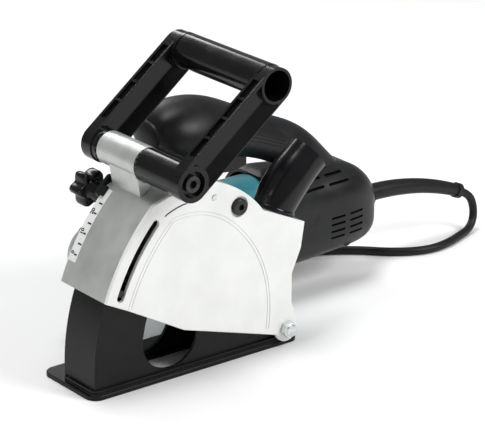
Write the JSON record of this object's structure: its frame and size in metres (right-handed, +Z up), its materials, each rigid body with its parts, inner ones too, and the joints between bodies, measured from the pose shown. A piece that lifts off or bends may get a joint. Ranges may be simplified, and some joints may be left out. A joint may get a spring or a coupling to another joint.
{
  "type": "wall chaser",
  "caption": "Portable wall chaser with a hinged plunge base, slotted wheel case, swivelling dust elbow, folding front handle, D-handle motor unit and coiled mains lead.",
  "frame": {"origin": "point of the sole straight below the depth pivot, on the mid-plane of the base", "axes": "+X towards the motor and cord end, -X the front with the depth scale, -Y the cover side, +Y the motor side, +Z up"},
  "size_m": [0.465, 0.2775, 0.2398],
  "materials": {
    "white_casting": "satin light grey paint over aluminium casting",
    "cover_paint": "satin off-white paint",
    "black_steel": "satin black paint over steel",
    "black_gloss": "glossy black nylon",
    "black_housing": "fine-grained charcoal nylon",
    "teal_housing": "fine-grained blue-green nylon",
    "zinc": "zinc plated steel",
    "black_oxide": "black oxide steel",
    "steel": "ground steel",
    "scale_label": "printed film, white with black numbers",
    "gear_alloy": "die-cast aluminium",
    "copper": "copper segments",
    "brass": "stamped brass",
    "carbon": "pressed carbon",
    "laminate": "laminated electrical steel",
    "rubber": "matt black rubber"
  },
  "bodies": {
    "base": {"base_frame": "black_steel", "sole_plate": "black_steel", "sole_screws": "zinc", "pivot_bolt": "zinc", "pivot_nut": "zinc", "guide_pin": "black_oxide", "return_spring": "steel"},
    "front_handle": {"front_handle": "black_gloss", "handle_bolt": "black_oxide", "handle_nut": "zinc"},
    "depth_stopper": {"depth_stopper": "black_steel"},
    "stopper_knob": {"stopper_knob": "black_gloss"},
    "dust_nozzle": {"dust_nozzle": "black_gloss"},
    "spindle": {"spindle": "steel", "inner_flange": "steel", "spacer_rings": "steel", "lock_nut": "black_oxide", "bevel_gear": "steel"},
    "shaft_lock": {"shaft_lock": "black_housing"},
    "armature": {"armature": "laminate", "commutator": "copper", "cooling_fan": "black_housing", "pinion": "steel"},
    "trigger": {"trigger": "black_gloss"},
    "lock_button": {"lock_button": "black_gloss"},
    "case": {"bearing_box": "gear_alloy", "bearing_plate": "gear_alloy", "brush_holders": "brass", "carbon_brushes": "carbon", "cord_clamp": "carbon", "cord_coil": "rubber", "cord_guard": "rubber", "cord_tie": "rubber", "cover_dowel": "zinc", "cover_screw": "black_oxide", "depth_scale": "scale_label", "gear_bolts": "zinc", "gear_housing": "gear_alloy", "handle_screws": "zinc", "handle_shell_far": "black_housing", "handle_shell_near": "black_housing", "mains_plug": "rubber", "motor_bearings": "steel", "motor_housing": "teal_housing", "nozzle_seal": "rubber", "power_cord": "rubber", "side_cover": "cover_paint", "spindle_bearings": "steel", "stator": "laminate", "switch_body": "carbon", "wheel_case": "white_casting"}
  },
  "joints": [
    {"name": "plunge", "type": "hinge", "parent": "base", "child": "case", "pos_m": [0, 0, 0.0145], "axis": [0, -1, 0], "range_deg": [0, 17.1]},
    {"name": "front_handle_tilt", "type": "hinge", "parent": "case", "child": "front_handle", "pos_m": [-0.1133, 0, 0.1665], "axis": [0, -1, 0], "range_deg": [-12, 60]},
    {"name": "stopper_slide", "type": "hinge", "parent": "case", "child": "depth_stopper", "pos_m": [0, 0, 0.0145], "axis": [0, -1, 0], "range_deg": [0, 16.4]},
    {"name": "knob_turn", "type": "hinge", "parent": "depth_stopper", "child": "stopper_knob", "pos_m": [-0.11951, 0.06, 0.13072], "axis": [0, 1, 0], "range_deg": [-360, 360]},
    {"name": "nozzle_swivel", "type": "hinge", "parent": "case", "child": "dust_nozzle", "pos_m": [0.0015, -0.00565, 0.1055], "axis": [0.4147, 0, 0.91], "range_deg": [-90, 90]},
    {"name": "armature_spin", "type": "hinge", "parent": "case", "child": "armature", "pos_m": [0, 0.076, 0.06303], "axis": [1, 0, 0], "continuous": true},
    {"name": "spindle_spin", "type": "hinge", "parent": "case", "child": "spindle", "pos_m": [-0.09525, 0, 0.06303], "axis": [0, 1, 0], "continuous": true},
    {"name": "shaft_lock_press", "type": "slide", "parent": "case", "child": "shaft_lock", "axis": [0, -1, 0], "range_m": [0, 0.004], "stiffness_N_per_m": 600, "springref_m": -0.002},
    {"name": "trigger_squeeze", "type": "slide", "parent": "case", "child": "trigger", "axis": [0.3141, 0, 0.9494], "range_m": [0, 0.003], "stiffness_N_per_m": 900, "springref_m": -0.002},
    {"name": "lock_button_press", "type": "slide", "parent": "case", "child": "lock_button", "axis": [0, -1, 0], "range_m": [0, 0.003], "stiffness_N_per_m": 500, "springref_m": -0.002}
  ],
  "couplings": [
    {"joint": "spindle_spin", "follows": "armature_spin", "ratio": 0.3}
  ]
}
